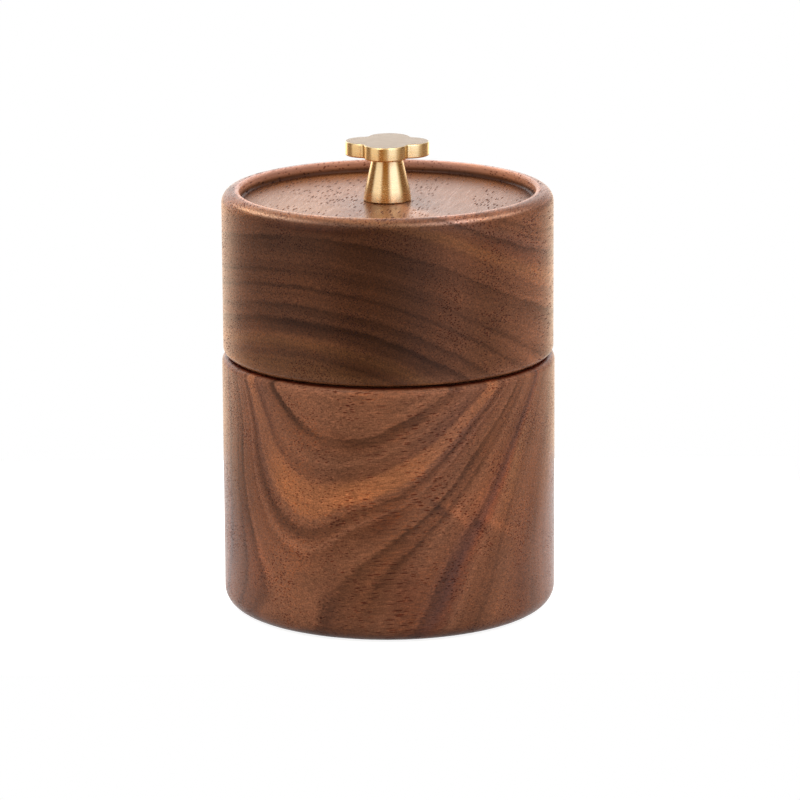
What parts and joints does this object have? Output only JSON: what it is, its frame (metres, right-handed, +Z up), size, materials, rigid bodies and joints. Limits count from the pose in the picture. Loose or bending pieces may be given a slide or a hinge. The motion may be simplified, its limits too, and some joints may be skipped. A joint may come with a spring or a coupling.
{
  "type": "toothpick dispenser",
  "caption": "Round turned-wood toothpick jar: a deep well with a spigot, a tall lift-off lid with a dished top, and a lobed brass knob on a tapered stem.",
  "frame": {"origin": "centre of the round base, on the plane of the foot ring that it stands on", "axes": "+Z up along the axis of turning and the way the lid lifts, -Y towards the front of the picture, +X to its right"},
  "size_m": [0.07, 0.07, 0.0991],
  "materials": {
    "walnut_body": "oiled satin walnut, red-brown heartwood",
    "walnut_lid": "oiled satin walnut, darker grey-brown heartwood",
    "brushed_brass": "fine turned and brushed brass",
    "zinc_steel": "bright zinc plate"
  },
  "bodies": {
    "jar": {"body": "walnut_body"},
    "cover": {"lid": "walnut_lid", "knob_stem": "brushed_brass", "knob_plate": "brushed_brass", "knob_screw": "zinc_steel", "knob_washer": "zinc_steel"}
  },
  "joints": [
    {"name": "lid_lift", "type": "slide", "parent": "jar", "child": "cover", "axis": [0, 0, 1], "range_m": [0, 0.1]}
  ]
}
